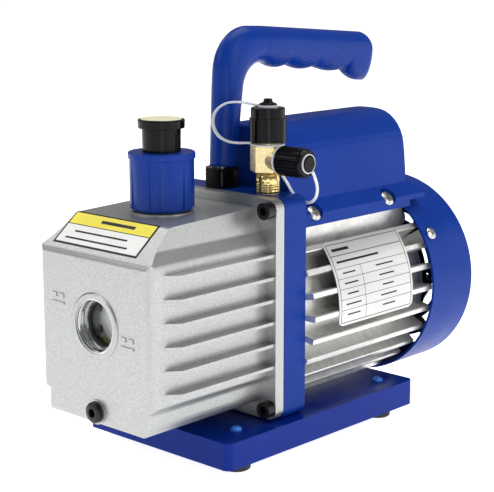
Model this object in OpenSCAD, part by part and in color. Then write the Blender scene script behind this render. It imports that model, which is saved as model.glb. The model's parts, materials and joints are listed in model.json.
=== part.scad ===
// Single-stage rotary vane vacuum pump: oil tank in front, support bracket, finned motor behind.
// Millimetres. +X is the side of the small inlet port, -Y is the sight glass, +Z is up.
// The origin is under the middle of the pump, on the surface that it stands on.

/* [Base] */
// Width of the base tray
base_w = 120; // [118:1:124]
// Length of the base tray
base_l = 175.4; // [174:0.2:178]
// Middle of the base tray along Y
base_y = -4.45; // [-5:0.05:-4]
// Height of a rubber foot below the tray
foot_h = 6.7; // [5:0.1:8]
// Height of the tray
tray_h = 16.2; // [15:0.1:17]
// Half the distance between the feet across the pump
foot_x = 45; // [43:0.5:47]
// Front and rear row of feet
foot_ys = [-70, 64];

/* [Shaft] */
// Height of the shaft above the surface
shaft_z = 82.2; // [82:0.1:83]
// Radius of the shaft in its bearings
shaft_r = 6; // [5.5:0.5:6]

/* [Tank and bracket] */
// Half the width of the flange and of the bracket
flange_x = 53.5; // [53:0.1:54]
// Top of the flange and of the bracket
flange_top = 156.6; // [156:0.1:157]
// Front face of the tank
tank_y = -137.5; // [-138:0.1:-137]
// Front face of the tank flange
flange_y = -45.2; // [-46:0.1:-45]
// Front face of the bracket
bracket_y = -37.6; // [-38:0.1:-37.5]
// Thickness of the bracket
bracket_t = 19; // [18.5:0.1:19.5]
// Half the width of the tank body
tank_x = 46.1; // [45.5:0.1:46.5]
// Number of cooling fins on each side of the tank
tank_fins = 6; // [3:1:6]
// Height of the middle of the sight glass
sight_z = 90.6; // [88:0.1:92]
// Height of the drain plug
drain_z = 40.4; // [40:0.1:42]

/* [Ports] */
// Middle of the exhaust filter along Y
filter_y = -84.35; // [-86:0.05:-82]
// Middle of the intake fitting along X
intake_x = 31.5; // [30:0.1:32]
// Height of the side port
side_z = 177; // [176:0.5:178]

/* [Handle] */
// Plane of the handle along X
handle_x = -6; // [-8:0.5:-4]
// Backward lean of the handle post, degrees
handle_lean = 4.5; // [4:0.1:5]

/* [Motor] */
// Rear end of the motor housing
housing_end = 99.1; // [98:0.1:100]
// Radius over the tips of the motor fins
fin_r = 61.5; // [61:0.1:61.8]
// Angle between motor fins, degrees
fin_pitch = 13.4; // [13:0.1:13.6]
// Radius of the fan cover
cover_r = 65.2; // [65:0.1:65.4]
// Front edge of the fan cover
cover_y = 96.3; // [95:0.1:97]
// Rear of the pump
rear_y = 141.4; // [141:0.1:142]

/* [Top box] */
// Top of the box
box_top = 196.2; // [195:0.1:198]
// Front wall of the box
box_y0 = -15.4; // [-16:0.1:-15]
// Rear wall of the box
box_y1 = 101.6; // [101:0.1:102]
// Height of the switch and of the inlet
panel_z = 171; // [169:0.5:173]
// Middle of the switch along X
switch_x = 21; // [20:0.5:22]
// Middle of the power inlet along X
inlet_x = -7; // [-8:0.5:-6]

/* [Hidden] */

$fn = 64;
paint_blue = [0.13, 0.24, 0.62];
cast_silver = [0.76, 0.77, 0.76];
bare_metal = [0.62, 0.64, 0.66];
dark_plastic = [0.08, 0.08, 0.08];
brass_yellow = [0.80, 0.62, 0.25];
strap_white = [0.88, 0.89, 0.90];

cut = 0.1;
tray_top = foot_h + tray_h;
tray_wall = 2;
bracket_end = bracket_y + bracket_t;
port_y = bracket_y + bracket_t / 2;
shelf_z = 134.4;
shelf_x = 36;
flange_low = 23.9;
screw_x = 48.6;
screw_zs = [31, 150.4];

// ---- helpers ------------------------------------------------------------------

// Arc that rounds the corner b between its neighbours a and c, with radius b[2]
function corner_arc(a, b, c, n) = let(
    p = [b[0], b[1]],
    u = ([a[0], a[1]] - p) / norm([a[0], a[1]] - p),
    w = ([c[0], c[1]] - p) / norm([c[0], c[1]] - p),
    half = acos(u * w) / 2,
    mid = p + (u + w) / norm(u + w) * b[2] / sin(half),
    from = p + u * b[2] / tan(half) - mid,
    to = p + w * b[2] / tan(half) - mid,
    a0 = atan2(from[1], from[0]),
    turn = atan2(from[0] * to[1] - from[1] * to[0], from * to))
    [for (k = [0:n]) mid + b[2] * [cos(a0 + turn * k / n), sin(a0 + turn * k / n)]];

// Outline through the points [x, y, r], each corner rounded with its own radius r
function outline(pts, n = 6) = [for (i = [0:len(pts) - 1])
    let(a = pts[(i + len(pts) - 1) % len(pts)], b = pts[i], c = pts[(i + 1) % len(pts)])
    each (b[2] > 0 ? corner_arc(a, b, c, n) : [[b[0], b[1]]])];

// The right half of an outline, completed by its mirror image
function both_sides(half) = concat(half,
    [for (i = [len(half) - 1:-1:0]) if (half[i][0] != 0) [-half[i][0], half[i][1], half[i][2]]]);

// Rectangle from x0, y0 to x1, y1 with corners of radius r
module panel(x0, y0, x1, y1, r) {
    polygon(outline([[x0, y0, r], [x1, y0, r], [x1, y1, r], [x0, y1, r]]));
}

module rod_x(r, x0, x1, y, z) {
    translate([x0, y, z]) rotate([0, 90, 0]) cylinder(r = r, h = x1 - x0);
}

module rod_y(r, y0, y1, x = 0, z = shaft_z) {
    translate([x, y1, z]) rotate([90, 0, 0]) cylinder(r = r, h = y1 - y0);
}

module rod_z(r, z0, z1, x, y) {
    translate([x, y, z0]) cylinder(r = r, h = z1 - z0);
}

// Extrudes an outline drawn in X and Z from y0 to y1
module along_y(y0, y1) {
    translate([0, y1, 0]) rotate([90, 0, 0]) linear_extrude(y1 - y0) children();
}

// Extrudes an outline drawn in Y and Z from x0 to x1
module along_x(x0, x1) {
    translate([x0, 0, 0]) rotate([90, 0, 90]) linear_extrude(x1 - x0) children();
}

// Turns an outline of radius and depth about a line along Y, depth counted towards -Y from y
module turned_y(y, x = 0, z = shaft_z) {
    translate([x, y, z]) rotate([90, 0, 0]) rotate_extrude() children();
}

module turned_z(z, x, y) {
    translate([x, y, z]) rotate_extrude() children();
}

module turned_x(x, y, z) {
    translate([x, y, z]) rotate([0, 90, 0]) rotate_extrude() children();
}

module both_x() {
    children();
    mirror([1, 0, 0]) children();
}

// ---- base ---------------------------------------------------------------------

base_bolt_spots = [[-30, port_y], [30, port_y], [-17, 74], [17, 74]];

module base_plate() color(paint_blue) difference() {
    corner = 4.5;
    y0 = base_y - base_l / 2;
    y1 = base_y + base_l / 2;
    translate([0, 0, foot_h]) linear_extrude(tray_h)
        panel(-base_w / 2, y0, base_w / 2, y1, corner);
    translate([0, 0, foot_h - cut]) linear_extrude(tray_h - tray_wall + cut)
        panel(-base_w / 2 + tray_wall, y0 + tray_wall, base_w / 2 - tray_wall, y1 - tray_wall,
            corner - tray_wall);
    for (x = [-foot_x, foot_x], y = foot_ys) rod_z(2.7, foot_h, tray_top + cut, x, y);
    for (p = base_bolt_spots) rod_z(3.2, foot_h, tray_top + cut, p[0], p[1]);
}

module rubber_feet() color(dark_plastic) {
    foot_top = tray_top - tray_wall;
    for (x = [-foot_x, foot_x], y = foot_ys) difference() {
        turned_z(0, x, y) polygon([[2.7, 0], [8, 0], [8.6, 0.6], [9.8, foot_top], [2.7, foot_top]]);
        rod_z(5.6, -cut, 8, x, y);
    }
}

module foot_screws() color(paint_blue) {
    for (x = [-foot_x, foot_x], y = foot_ys) {
        turned_z(tray_top, x, y)
            polygon(outline([[0, 0, 0], [3.4, 0, 0], [3.4, 1.3, 1], [2, 2.4, 0.8], [0, 2.4, 0]]));
        rod_z(2.45, 3.4, tray_top + cut, x, y);
    }
}

module foot_nuts() color(bare_metal) {
    for (x = [-foot_x, foot_x], y = foot_ys) difference() {
        translate([x, y, 3.8]) cylinder(r = 4.6, h = 4.1, $fn = 6);
        rod_z(2.5, 3, 9, x, y);
    }
}

module base_bolts() color(bare_metal) {
    head_z = tray_top - tray_wall;
    for (p = base_bolt_spots) {
        translate([p[0], p[1], head_z - 4]) cylinder(r = 5.7, h = 4, $fn = 6);
        rod_z(2.95, head_z - cut, tray_top + 9, p[0], p[1]);
    }
}

// ---- bracket and tank -----------------------------------------------------------

pump_screw_spots = [for (a = [45:90:315]) [31 * cos(a), shaft_z - 3.7 + 31 * sin(a)]];
inlet_hole = [29.5, 92];
seal_y0 = -35.4;
seal_y1 = -29.2;
bearing_y0 = -28.8;
bearing_r = 16;

module support_bracket() color(paint_blue) difference() {
    along_y(bracket_y, bracket_end) panel(-flange_x, tray_top, flange_x, flange_top, 6);
    rod_y(7.5, bracket_y - cut, seal_y1);
    rod_y(11, seal_y0, seal_y1 + cut);
    rod_y(13, seal_y1, bearing_y0 + cut);
    rod_y(bearing_r, bearing_y0, bracket_end + cut);
    for (x = [-screw_x, screw_x], z = screw_zs) rod_y(3, bracket_y - cut, -23, x, z);
    for (p = pump_screw_spots) rod_y(2.5, bracket_y - cut, -27, p[0], p[1]);
    for (i = [0:1]) rod_z(3, tray_top - cut, tray_top + 11, base_bolt_spots[i][0], port_y);
    rod_z(6.9, 146.6, flange_top + cut, intake_x, port_y);
    rod_z(3.5, inlet_hole[1], 147, intake_x, port_y);
    rod_y(3, bracket_y - cut, port_y, inlet_hole[0], inlet_hole[1]);
    rod_z(4, 138, flange_top + cut, handle_x, port_y);
}

module tank_gasket() color([0.25, 0.26, 0.27]) difference() {
    along_y(bracket_y - 0.5, bracket_y) panel(-flange_x + 0.7, flange_low + 0.7, flange_x - 0.7,
        flange_top - 0.7, 5.3);
    along_y(bracket_y - 1, bracket_y + cut) polygon(outline(both_sides(tank_side(4.5)), 4));
    for (x = [-screw_x, screw_x], z = screw_zs) rod_y(3.3, bracket_y - 1, bracket_y + cut, x, z);
}

// Right half of the tank's cross-section, pulled in by the wall thickness t
function tank_side(t) = [[36.3 - t, 152 - t, 4], [41 - t, 137 - t / 3, 6], [tank_x - t, slope_low - t / 2, 6],
    [tank_x - t, 50.3 + t / 3, 3.5], [42 - t, 46.4 + t / 3, 3], [41 - t, 32.2 + t, 8]];

// The left wall is a little thicker, down to the step near the bottom
function tank_left(t) = let(h = tank_side(t), out = t > 0 ? 0 : left_extra) concat(
    [[t - 41.8, 29 + t, 5], [t - 43.6, 45.5 + t / 3, 3], [t - tank_x - out, 52.5 + t / 3, 3.5]],
    [for (i = [2:-1:0]) [-h[i][0] - (i == 0 ? out / 2 : out), h[i][1], h[i][2]]]);

step_z = 46.7;
left_extra = 2.3;
slope_low = 129.8;
slope_top = 148.4;
slope_y = -114.8;
slope_angle = atan2(slope_top - slope_low, slope_y - tank_y);

module tank_plan(z0, z1, x0, x1, t, y1) {
    translate([0, 0, z0]) linear_extrude(z1 - z0)
        polygon(outline([[x1, tank_y + t, 5], [x1, y1 + 1, 0], [x0, y1 + 1, 0], [x0, tank_y + t, 5]]));
}

// The tank body, pulled in by t: its cross-section, cut by its side view and by its plan
module tank_body(t, y1) {
    extra = t > 0 ? 0 : left_extra;
    intersection() {
        along_y(tank_y + t, y1) polygon(outline(concat(tank_side(t), tank_left(t))));
        along_x(-60, 60) polygon(outline([[tank_y + t, 32.3 + t, 4], [tank_y + t, slope_low - t / 2, 5],
            [slope_y + t / 2, slope_top - t, 6], [y1 + 1, 150.9 - t, 0], [y1 + 1, 30.2 + t, 0]]));
        union() {
            tank_plan(step_z, 160, t - tank_x - extra, tank_x - t, t, y1);
            tank_plan(20, step_z, t - 44.4, 42.3 - t, t, y1);
        }
    }
}

module tank_fin(z) {
    tip = 52.5;
    t = 1.9;
    translate([0, 0, z - t / 2]) linear_extrude(t)
        polygon([[tank_x - 2, tank_y + 11], [tank_x - 0.3, tank_y + 9.2], [tip - 0.4, -120.8], [tip, -119.8],
            [tip, flange_y + 1], [tank_x - 2, flange_y + 1]]);
}

// A plain raised level mark: a long bar with two short ones above it
module level_mark(x, z) {
    along_y(tank_y - 0.6, tank_y + 1) translate([x, z]) {
        translate([-5.3, -0.6]) square([10.6, 1.2]);
        for (i = [-1, 1]) translate([3 * i - 2, 3.2]) square([4, 2.6]);
    }
}

filter_seat = 149.9;

module oil_tank() color(cast_silver) difference() {
    union() {
        tank_body(0, flange_y + 1);
        along_y(flange_y, bracket_y - 0.5) panel(-flange_x, flange_low, flange_x, flange_top, 6);
        both_x() for (i = [0:tank_fins - 1]) tank_fin(124 - 13.4 * i);
        turned_y(tank_y + 4, 0, sight_z) polygon([[0, 0], [19.3, 0], [19.3, 4.3], [18.4, 4.9], [0, 4.9]]);
        rod_y(18.2, tank_y + 2, tank_y + 16.4, 0, sight_z);
        rod_y(7.3, tank_y - 0.7, tank_y + 6, 0, drain_z);
        rod_z(18.2, 143, filter_seat, 0, filter_y);
        level_mark(-31.5, 99.3);
        level_mark(26.7, 82.7);
    }
    difference() {
        tank_body(4, flange_y + 1);
        rod_y(18.2, tank_y, tank_y + 16.4, 0, sight_z);
        rod_z(18.2, 143, filter_seat, 0, filter_y);
        rod_y(9.5, tank_y, tank_y + 9, 0, drain_z);
    }
    along_y(flange_y - 1, bracket_y) polygon(outline(both_sides(tank_side(4.5)), 4));
    rod_y(16, tank_y - 2, tank_y + 17, 0, sight_z);
    rod_y(5, tank_y - 2, tank_y + 10, 0, drain_z);
    rod_z(14, 142, filter_seat + 1, 0, filter_y);
    difference() {
        rod_z(21, filter_seat, filter_seat + 4, 0, filter_y);
        rod_z(14, 142, filter_seat + 1, 0, filter_y);
    }
    for (x = [-screw_x, screw_x], z = screw_zs) {
        rod_y(3.3, flange_y - 1, bracket_y, x, z);
        rod_y(6.2, flange_y - 8, flange_y + 0.3, x, z);
    }
}

// Hexagon socket in a screw head that faces -Y
module socket_y(y, x, z, across, deep) {
    translate([x, y + deep, z]) rotate([90, 0, 0]) cylinder(r = across / sqrt(3), h = deep + cut, $fn = 6);
}

module tank_screws() color(dark_plastic) {
    head = flange_y + 0.3;
    for (x = [-screw_x, screw_x], z = screw_zs) difference() {
        union() {
            rod_y(5, head - 6, head, x, z);
            rod_y(2.95, head - cut, -24, x, z);
        }
        socket_y(head - 6, x, z, 5, 3.2);
    }
}

// ---- sight glass and drain --------------------------------------------------------

ring_y1 = tank_y + 6.4;

module sight_glass_ring() color(bare_metal) turned_y(ring_y1, 0, sight_z)
    polygon([[13.2, 0], [15.95, 0], [15.95, 6.8], [15, 6.8], [15, 5.9], [14.6, 5.4], [15, 4.9],
        [14.6, 4.1], [15, 3.3], [14.6, 2.5], [14.4, 1.2], [13.2, 1.2]]);

module sight_glass_seal() color(dark_plastic) turned_y(ring_y1 + 2.4, 0, sight_z)
    polygon(outline([[12.2, 0, 0], [15.9, 0, 0], [15.9, 2.3, 0], [12.2, 2.3, 1]]));

module sight_glass_lens() color([0.8, 0.9, 0.88, 0.4]) rod_y(15.9, ring_y1 + 2.45, ring_y1 + 5.5, 0, sight_z);

module sight_glass_plate() color([0.80, 0.83, 0.80]) difference() {
    rod_y(15.9, ring_y1 + 7.2, ring_y1 + 9.6, 0, sight_z);
    for (z = [-5.5, 6.9]) rod_y(2.6, ring_y1 + 6, ring_y1 + 11, -9.4, sight_z + z);
}

drain_face = tank_y - 0.7;

module drain_seal() color([0.16, 0.16, 0.17]) difference() {
    rod_y(6.2, drain_face - 0.8, drain_face, 0, drain_z);
    rod_y(5.05, drain_face - 1, drain_face + cut, 0, drain_z);
}

module drain_plug() color(dark_plastic) difference() {
    union() {
        turned_y(drain_face - 0.8, 0, drain_z)
            polygon(outline([[0, 0, 0], [6.1, 0, 0], [6.1, 1.9, 1], [3.6, 2.45, 0], [0, 2.45, 0]]));
        rod_y(4.95, drain_face - 1, tank_y + 9, 0, drain_z);
    }
    socket_y(drain_face - 3.4, 0, drain_z, 5, 4);
}

// ---- exhaust filter ----------------------------------------------------------------

seal_top = filter_seat + 0.8;
filter_top = 184.2;

module filter_seal() color(dark_plastic) difference() {
    rod_z(16.6, filter_seat, seal_top, 0, filter_y);
    rod_z(14.05, filter_seat - 1, seal_top + 1, 0, filter_y);
}

module exhaust_filter() color(paint_blue) difference() {
    panels = 8;
    union() {
        turned_z(0, 0, filter_y) polygon(outline([[0, 140, 0], [13.95, 140, 0], [13.95, seal_top, 0],
            [17.9, seal_top, 1.2], [18.6, 180.2, 0], [19.5, 180.6, 0.3], [19.5, filter_top, 0.8], [0,
                filter_top, 0]]));
        for (i = [0:panels - 1]) translate([0, filter_y, 0]) rotate([0, 0, 360 / panels * (i + 0.25)])
            translate([0, 0, seal_top + 1.3]) linear_extrude(28.3)
                polygon([for (a = [-14, -12, -6, 0, 6, 12, 14]) (abs(a) == 14 ? 15 : 18.75) * [cos(a),
                    sin(a)]]);
    }
    rod_z(15.6, 152.5, 182, 0, filter_y);
    rod_z(11, 139, 153, 0, filter_y);
    rod_z(8.6, 181.9, filter_top + 1, 0, filter_y);
}

module filter_element() color([0.92, 0.91, 0.86]) difference() {
    rod_z(15, 152.6, 173.5, 0, filter_y);
    rod_z(9, 152, 174, 0, filter_y);
}

cap_rest = filter_top + 0.05;

module exhaust_cap() color(dark_plastic) difference() {
    turned_z(0, 0, filter_y) polygon(outline([[0, 174.5, 0], [7.8, 174.5, 0.6], [8.5, 176, 0], [8.5,
        cap_rest, 0],
        [11.1, cap_rest, 0], [11.3, 197.4, 0], [13.5, 197.8, 0.4], [13.7, 202.9, 0.8], [0, 202.9, 0]]));
    rod_z(12, 202.1, 204, 0, filter_y);
}

module exhaust_cap_disc() color([0.95, 0.95, 0.78]) turned_z(202.1, 0, filter_y)
    polygon(outline([[0, 0, 0], [11.9, 0, 0], [11.9, 1.1, 0.3], [7, 1.6, 3], [0, 1.8, 0]]));

// ---- pump ------------------------------------------------------------------------

pump_y0 = -67.6;
pump_z = shaft_z - 3.7;
pump_bore = 26;
rotor_r = 22;
reed_seat = 108;
reed_x = -14;

module pump_cylinder() color(bare_metal) difference() {
    rod_y(36, pump_y0, bracket_y, 0, pump_z);
    rod_y(pump_bore, pump_y0 - 1, bracket_y + 1, 0, pump_z);
    for (p = pump_screw_spots) rod_y(2.7, pump_y0 - 1, bracket_y + 1, p[0], p[1]);
    rod_y(3, -56, bracket_y + 1, inlet_hole[0], inlet_hole[1]);
    rod_x(3, 18, inlet_hole[0], -52, inlet_hole[1]);
    translate([-30, pump_y0 - 1, reed_seat]) cube([28, 32, 12]);
    for (y = [-58, -47]) rod_z(2.5, 95, reed_seat + 1, reed_x, y);
}

module pump_end_plate() color(bare_metal) difference() {
    rod_y(36, pump_y0 - 8, pump_y0, 0, pump_z);
    rod_y(shaft_r + 0.04, pump_y0 - 6.4, pump_y0 + 1);
    for (p = pump_screw_spots) rod_y(2.7, pump_y0 - 9, pump_y0 + 1, p[0], p[1]);
}

module pump_screws() color(dark_plastic) {
    head = pump_y0 - 8;
    for (p = pump_screw_spots) difference() {
        union() {
            rod_y(4.2, head - 5, head, p[0], p[1]);
            rod_y(2.45, head - cut, -28, p[0], p[1]);
        }
        socket_y(head - 5, p[0], p[1], 4, 2.6);
    }
}

slot_w = 4;
slot_r = 10;
key_w = 3;

module pump_rotor() color(bare_metal) difference() {
    rod_y(rotor_r, pump_y0 + 0.3, bracket_y - 0.3);
    rod_y(shaft_r + 0.02, pump_y0, bracket_y);
    for (s = [-1, 1]) translate([s * (slot_r + 7), -52.6, shaft_z]) cube([14, 40, slot_w], center = true);
    both_x() for (y = [-60, -45]) rod_x(1.7, 8, slot_r + 1, y, shaft_z);
    translate([-key_w / 2, pump_y0, shaft_z]) cube([key_w, 40, shaft_r + 2]);
}

module pump_vanes() color([0.30, 0.24, 0.18]) both_x()
    translate([slot_r + 1.2, pump_y0 + 0.5, shaft_z - slot_w / 2 + 0.05]) cube([10.6, 29, slot_w - 0.1]);

module vane_springs() color(bare_metal) both_x() for (y = [-60, -45])
    swept_strap([for (k = [0:42]) [8.4 + 0.06 * k, y + 1.2 * cos(30 * k), shaft_z + 1.2 * sin(30 * k)]],
        [1, 0, 0], 0.4, 0.4, 1);

module rotor_key() color(bare_metal)
    translate([-key_w / 2 + 0.03, -66, shaft_z + shaft_r - 1.5]) cube([key_w - 0.06, 26, 3.4]);

module exhaust_reed() color([0.7, 0.72, 0.75])
    translate([reed_x - 5, -63.5, reed_seat]) cube([10, 22, 0.4]);

module reed_stop() color(bare_metal) along_x(reed_x - 5, reed_x + 5)
    polygon([[-63.5, reed_seat + 0.4], [-60.5, reed_seat + 0.4], [-45, reed_seat + 3], [-41.5, reed_seat + 3],
        [-41.5, reed_seat + 4.5], [-45, reed_seat + 4.5], [-60.5, reed_seat + 2], [-63.5, reed_seat + 2]]);

module shaft_seal() color(dark_plastic) difference() {
    rod_y(10.95, seal_y0, seal_y1);
    rod_y(shaft_r + 0.05, seal_y0 - 1, seal_y1 + 1);
}

// ---- intake ------------------------------------------------------------------------

hex_low = 169.9;
hex_top = 185;
hex_flat = 9.25;
side_face = intake_x + hex_flat + 0.9;
flare_r = 7.9;
side_flare_r = 5.5;
strap_t = 1.3;
top_ring_z = 207.6;
side_ring_x = 62.6;

module intake_fitting() color(brass_yellow) difference() {
    union() {
        rod_z(6.85, 147, 160, intake_x, port_y);
        rod_z(7.05, 160, hex_low + cut, intake_x, port_y);
        translate([intake_x, port_y, hex_low]) rotate([0, 0, 30])
            cylinder(r = hex_flat / cos(30), h = hex_top - hex_low, $fn = 6);
        turned_z(hex_top - cut, intake_x, port_y)
            polygon([[0, 0], [flare_r, 0], [flare_r, 10], [4.9, 13.5], [0, 13.5]]);
        rod_x(7.95, intake_x, side_face, port_y, side_z);
        turned_x(intake_x, port_y, side_z)
            polygon([[0, 0], [side_flare_r, 0], [side_flare_r, 19.9], [3.4, 22.4], [0, 22.4]]);
    }
    rod_z(4, 146, 200, intake_x, port_y);
    rod_x(2.4, intake_x, intake_x + 24, port_y, side_z);
    rod_z(6, 146, 150, intake_x, port_y);
}

module intake_screen() color([0.75, 0.75, 0.72]) difference() {
    rod_z(5.9, 147.3, 149.9, intake_x, port_y);
    rod_z(4.9, 147, 149.4, intake_x, port_y);
    for (a = [0:60:300], r = [1.6, 3.4])
        rod_z(0.5, 149, 151, intake_x + r * cos(a), port_y + r * sin(a));
}

// Ribs round a cap of radius r, drawn in plan
module ribbed(r, ribs, deep) {
    difference() {
        circle(r = r);
        for (i = [0:ribs - 1]) rotate([0, 0, 360 / ribs * i])
            translate([r + 0.35, 0]) circle(r = deep + 0.35, $fn = 16);
    }
}

top_cap_low = hex_top + strap_t + 0.9;

module top_cap() color(dark_plastic) difference() {
    union() {
        translate([intake_x, port_y, top_cap_low]) linear_extrude(14) ribbed(11, 14, 0.35);
        turned_z(0, intake_x, port_y) polygon(outline([[0, top_cap_low + 0.5, 0],
            [10.1, top_cap_low + 0.5, 0],
            [10.1, top_ring_z - 0.15, 0.8], [3.2, top_ring_z - 0.15, 0], [3.2, top_ring_z + 1.4, 0], [6.2,
                top_ring_z + 1.6, 0.2],
            [2.9, top_ring_z + 2.9, 0], [2.4, top_ring_z + 4.9, 0.6], [0, top_ring_z + 5, 0]]));
    }
    rod_z(flare_r + 0.3, top_cap_low - 1, top_cap_low + 9, intake_x, port_y);
    turned_z(top_cap_low + 9 - cut, intake_x, port_y) polygon([[0, 0], [flare_r + 0.3, 0], [5.2, 3.6],
        [0, 3.6]]);
}

module top_cap_ring() color(strap_white) difference() {
    rod_z(6, top_ring_z, top_ring_z + 1.2, intake_x, port_y);
    rod_z(3.5, top_ring_z - 1, top_ring_z + 2, intake_x, port_y);
}

// A flat strap swept along points: each ring is a rectangle, t thick and w wide across the plane of the loop
function strap_ring(p, d, across, t, w) = let(n = cross(d, across) / norm(cross(d, across)))
    [p + across * w / 2 + n * t / 2, p + across * w / 2 - n * t / 2, p - across * w / 2 - n * t / 2,
        p - across * w / 2 + n * t / 2];

// Points of a smooth curve through the route (Catmull-Rom), k steps in each span
function smooth_route(r, k) = concat([for (i = [0:len(r) - 2], j = [0:k - 1]) let(
    a = r[max(i - 1, 0)], b = r[i], c = r[i + 1], e = r[min(i + 2, len(r) - 1)], t = j / k)
    0.5 * (2 * b + (c - a) * t + (2 * a - 5 * b + 4 * c - e) * t * t + (3 * b - a - 3 * c + e)
        * t * t * t)], [r[len(r) - 1]]);

module swept_strap(route, across, t, w, k = 3) {
    pts = k > 1 ? smooth_route(route, k) : route;
    n = len(pts);
    rings = [for (i = [0:n - 1])
        strap_ring(pts[i], pts[min(i + 1, n - 1)] - pts[max(i - 1, 0)], across, t, w)];
    polyhedron(points = [for (r = rings) each r],
        faces = concat([[3, 2, 1, 0]], [[for (k = [0:3]) 4 * (n - 1) + k]],
            [for (i = [0:n - 2], k = [0:3]) [4 * i + k, 4 * i + (k + 1) % 4, 4 * (i + 1) + (k + 1) % 4,
                4 * (i + 1) + k]]),
        convexity = 8);
}

// The loop of the top strap lies in an upright plane that passes in front of the handle post
top_loop_dir = [-cos(17), -sin(17), 0];
top_loop = [[9.4, 185.75], [14, 185.6], [19, 185.3], [25, 185.6], [30, 187.2], [33.6, 190], [35.8, 194],
    [36.3, 198.2],
    [34.8, 202.8], [31, 206.5], [26, 208.9], [19, 209.6], [12, 209], [6.3, 208.2]];

module top_strap() color(strap_white) {
    difference() {
        rod_z(10.1, hex_top, hex_top + strap_t, intake_x, port_y);
        rod_z(flare_r + 0.1, hex_top - 1, hex_top + 3, intake_x, port_y);
    }
    route = [for (p = top_loop) [intake_x, port_y, p[1]] + top_loop_dir * p[0]];
    swept_strap(route, [-top_loop_dir[1], top_loop_dir[0], 0], strap_t, 3);
}

side_cap_x = side_face + strap_t + 0.6;

module side_cap() color(dark_plastic) difference() {
    union() {
        translate([side_cap_x, port_y, side_z]) rotate([0, 90, 0])
            linear_extrude(60.4 - side_cap_x) ribbed(8.8, 30, 0.3);
        turned_x(0, port_y, side_z) polygon(outline([[0, side_cap_x + 0.5, 0],
            [8.2, side_cap_x + 0.5, 0], [8.2, 61.2, 0.5], [7.6, side_ring_x - 0.1, 0.4],
            [3, side_ring_x - 0.1, 0], [3, side_ring_x + 0.9, 0], [5.1, side_ring_x + 1, 0],
            [4.4, side_ring_x + 1.6, 0], [0, side_ring_x + 1.6, 0]]));
    }
    rod_x(side_flare_r + 0.3, side_cap_x - 1, side_cap_x + 7.6, port_y, side_z);
    turned_x(side_cap_x + 7.5, port_y, side_z)
        polygon([[0, 0], [side_flare_r + 0.3, 0], [3.6, 2.9], [0, 2.9]]);
}

module side_cap_ring() color(strap_white) difference() {
    rod_x(5.7, side_ring_x, side_ring_x + 0.8, port_y, side_z);
    rod_x(3.3, side_ring_x - 1, side_ring_x + 2, port_y, side_z);
}

// The side strap hangs behind the bracket, below its cap
side_loop = [[42.15, -27.4, 168.9], [42.15, -26.6, 167.66], [42.55, -24.6, 164.78], [42.37, -21.8, 161.43],
    [41.64, -18.6, 157.97], [42.06, -15.8, 154.68], [45.45, -14.8, 152.3], [49.8, -14.4, 151.2],
    [53.52, -14.4, 151.99], [56.96, -15.4, 154.19], [59.95, -17, 157.58], [62.05, -19, 161.31],
    [63.5, -21.4, 165.04], [63.85, -23.2, 168.2], [63.9, -24.1, 170.7]];

module side_strap() color(strap_white) {
    difference() {
        rod_x(8.6, side_face, side_face + strap_t, port_y, side_z);
        rod_x(side_flare_r + 0.1, intake_x, side_cap_x + 2, port_y, side_z);
    }
    swept_strap(side_loop, [0.77, -0.59, 0.24], 1.8, 1.8);
}

// ---- handle ------------------------------------------------------------------------

nut_top = 168.5;
post_base = [port_y, 158];
bend_r = 27;
post_len = 57.7;
grip_len = 105.5;
grip_drop = 4.2;
post_dir = [sin(handle_lean), cos(handle_lean)];
bend_start = post_base + post_dir * post_len;
bend_mid = bend_start + bend_r * [post_dir[1], -post_dir[0]];
bend_turn = 90 - handle_lean + grip_drop;

// Middle line of the handle at s, as [y, z, direction]; s = 0..1 post, 1..2 bend, 2..3 grip
function handle_line(s) =
    s < 1 ? let(p = post_base + post_dir * (10.5 + (post_len - 10.5) * s)) [p[0], p[1], 90 - handle_lean]
    : s < 2 ? let(a = 90 - handle_lean - bend_turn * (s - 1)) [bend_mid[0] - bend_r * sin(a),
        bend_mid[1] + bend_r * cos(a), a]
    : let(d = grip_len * (s - 2)) [bend_mid[0] + bend_r * sin(grip_drop) + d * cos(grip_drop),
        bend_mid[1] + bend_r * cos(grip_drop) - d * sin(grip_drop), -grip_drop];

// Depth of the grip below its middle line, d along it: three finger lobes and a longer end lobe
lobe_ends = [2, 24, 50.5, 82];
function lobe(d, i) = i > 2 ? 0 : d > lobe_ends[i] && d < lobe_ends[i + 1]
    ? sin(180 * (d - lobe_ends[i]) / (lobe_ends[i + 1] - lobe_ends[i])) : lobe(d, i + 1);
function end_lobe(d) = d < 83 ? 0 : 7.2 * sqrt(max(0, 1 - pow(min(0, (d - 98) / 15), 2)));
function grip_under(d) = 10.6 + 0.024 * d + 2.3 * lobe(d, 0) + end_lobe(d);

// Rounds the rear end: r_end is the radius in this direction
function end_round(d, r_end) = r_end - sqrt(max(0, r_end * r_end - pow(max(0, d - grip_len + r_end), 2)));

// The outside of the bend is fuller than a plain bend: a corner of radius bend_out
bend_out = 26;
function bend_over(a) = let(o = 38 - bend_out, c = o * (cos(a) + sin(a)), edge = atan(o / 38))
    (a < edge ? 38 / cos(a) : a > 90 - edge ? 38 / sin(a)
        : c + sqrt(c * c - 2 * o * o + bend_out * bend_out)) - 38;

function handle_over(s) = s < 1 ? 8.3 + 1.4 * s
    : s < 2 ? 9.7 + 2.3 * (s - 1) + bend_over(90 * (s - 1)) : 12 - end_round(grip_len * (s - 2), 10);
function handle_under(s) = s < 1 ? 8.3 + 1.4 * s + 1.2 * max(0, s - 0.6)
    : s < 2 ? 10.2 + 0.4 * (s - 1) : grip_under(grip_len * (s - 2)) - end_round(grip_len * (s - 2), 4.5);
function handle_half(s) = s < 1 ? 9.2 * (0.9 + 0.1 * s) : s < 2 ? 9.2 : 9.4 - end_round(grip_len * (s - 2),
    6);

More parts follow.
